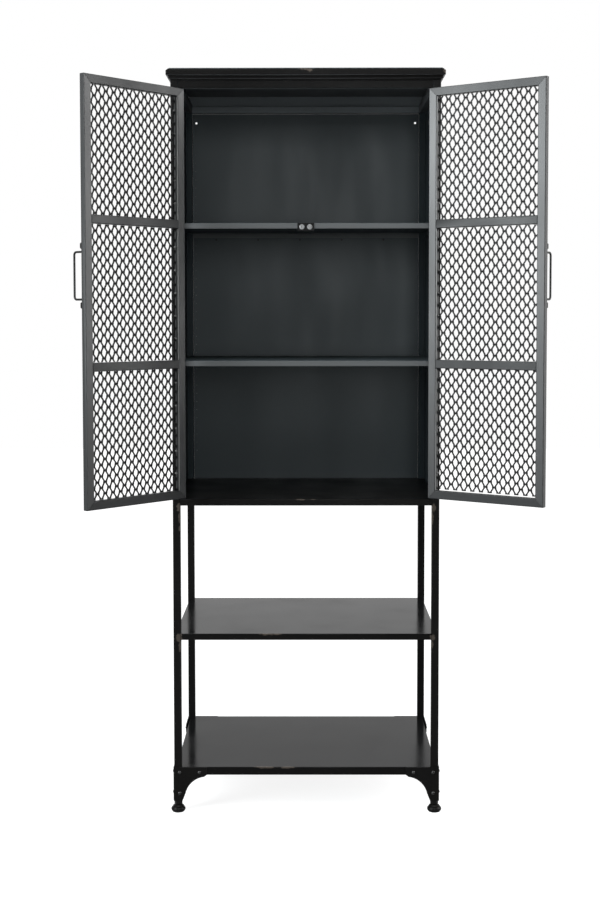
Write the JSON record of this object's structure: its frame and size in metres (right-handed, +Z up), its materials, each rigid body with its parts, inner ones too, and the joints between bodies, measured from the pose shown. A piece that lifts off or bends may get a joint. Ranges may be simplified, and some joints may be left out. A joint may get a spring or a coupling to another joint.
{
  "type": "storage cabinet",
  "caption": "Tall steel cabinet on levelling feet: open shelves below, a cupboard above behind hinged doors with expanded-metal panels and loop handles.",
  "frame": {"origin": "on the floor, midway between the four posts' centre lines", "axes": "+X to the right as seen from the front, +Y to the back, +Z up"},
  "size_m": [1.0772, 0.6811, 1.787],
  "materials": {
    "frame_paint": "semi-gloss powder coat, worn to bare metal at corners",
    "expanded_metal": "satin powder coat",
    "handle_steel": "satin, rubbed where it is held",
    "hinge_steel": "satin",
    "feet": "satin",
    "magnet_pots": "plated",
    "screw_steel": "plated"
  },
  "bodies": {
    "cabinet": {"front_left_post": "frame_paint", "front_right_post": "frame_paint", "rear_left_post": "frame_paint", "rear_right_post": "frame_paint", "top_front_rail": "frame_paint", "top_rear_rail": "frame_paint", "top_left_rail": "frame_paint", "top_right_rail": "frame_paint", "cabinet_floor": "frame_paint", "lower_interior_shelf": "frame_paint", "upper_interior_shelf": "frame_paint", "middle_shelf": "frame_paint", "bottom_shelf": "frame_paint", "back_panel": "frame_paint", "left_side_panel": "frame_paint", "right_side_panel": "frame_paint", "cornice_front": "frame_paint", "cornice_left": "frame_paint", "cornice_right": "frame_paint", "top_sheet": "frame_paint", "front_left_corner_bracket": "frame_paint", "front_right_corner_bracket": "frame_paint", "rear_left_corner_bracket": "frame_paint", "rear_right_corner_bracket": "frame_paint", "bracket_rivets": "frame_paint", "levelling_feet": "feet", "catch_plate": "frame_paint", "catch_magnets": "magnet_pots", "left_hinge_post_knuckles": "hinge_steel", "right_hinge_post_knuckles": "hinge_steel"},
    "left_door": {"left_door_hinge_stile": "frame_paint", "left_door_free_stile": "frame_paint", "left_door_top_rail": "frame_paint", "left_door_upper_middle_rail": "frame_paint", "left_door_lower_middle_rail": "frame_paint", "left_door_bottom_rail": "frame_paint", "left_door_upper_mesh_panel": "expanded_metal", "left_door_middle_mesh_panel": "expanded_metal", "left_door_lower_mesh_panel": "expanded_metal", "left_door_handle_plate": "handle_steel", "left_door_handle_rod": "handle_steel", "left_door_handle_screws": "screw_steel", "left_hinge_door_knuckles": "hinge_steel"},
    "right_door": {"right_door_hinge_stile": "frame_paint", "right_door_free_stile": "frame_paint", "right_door_top_rail": "frame_paint", "right_door_upper_middle_rail": "frame_paint", "right_door_lower_middle_rail": "frame_paint", "right_door_bottom_rail": "frame_paint", "right_door_upper_mesh_panel": "expanded_metal", "right_door_middle_mesh_panel": "expanded_metal", "right_door_lower_mesh_panel": "expanded_metal", "right_door_handle_plate": "handle_steel", "right_door_handle_rod": "handle_steel", "right_door_handle_screws": "screw_steel", "right_hinge_door_knuckles": "hinge_steel"}
  },
  "joints": [
    {"name": "left_door_hinge", "type": "hinge", "parent": "cabinet", "child": "left_door", "pos_m": [-0.30075, -0.2225, 1.25185], "axis": [0, 0, -1], "range_deg": [-132.4, 45.6]},
    {"name": "right_door_hinge", "type": "hinge", "parent": "cabinet", "child": "right_door", "pos_m": [0.30075, -0.2225, 1.25185], "axis": [0, 0, 1], "range_deg": [-145.5, 32.5]}
  ]
}
